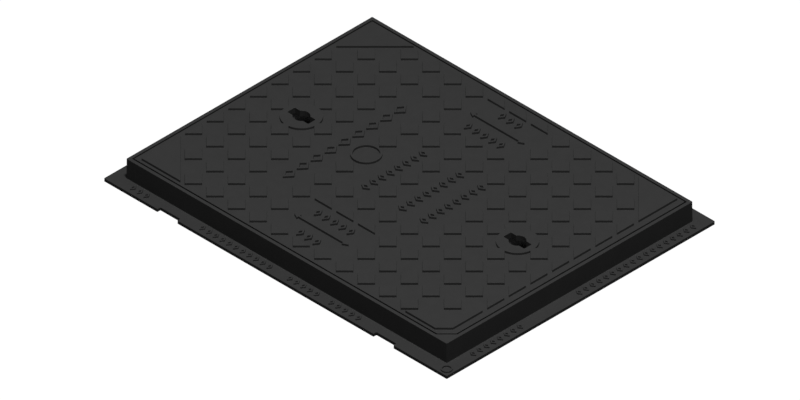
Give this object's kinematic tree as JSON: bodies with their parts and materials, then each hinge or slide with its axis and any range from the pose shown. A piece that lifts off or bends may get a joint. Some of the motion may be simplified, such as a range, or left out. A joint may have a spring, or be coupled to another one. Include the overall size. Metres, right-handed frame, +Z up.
{
  "type": "manhole cover",
  "caption": "Rectangular iron access cover with raised chequer treads and key slots, lifting out of a flanged frame with a seal channel.",
  "frame": {"origin": "centre of the frame's underside, on its bedding", "axes": "+X along the long side, the way the cover slides out; +Y along the short side; +Z up"},
  "size_m": [0.69, 0.54, 0.0431],
  "materials": {
    "frame_iron": "black bitumen coated, as cast",
    "cover_iron": "black bitumen coated, as cast",
    "seal_rubber": "matt, moulded",
    "cup_plastic": "moulded, fine texture"
  },
  "bodies": {
    "frame": {"frame": "frame_iron", "seal_ring": "seal_rubber"},
    "cover": {"cover": "cover_iron", "keyway_cup_left": "cup_plastic", "keyway_cup_right": "cup_plastic"}
  },
  "joints": [
    {"name": "cover_lift", "type": "slide", "parent": "frame", "child": "cover", "axis": [0, 0, 1], "range_m": [0, 0.1]}
  ]
}
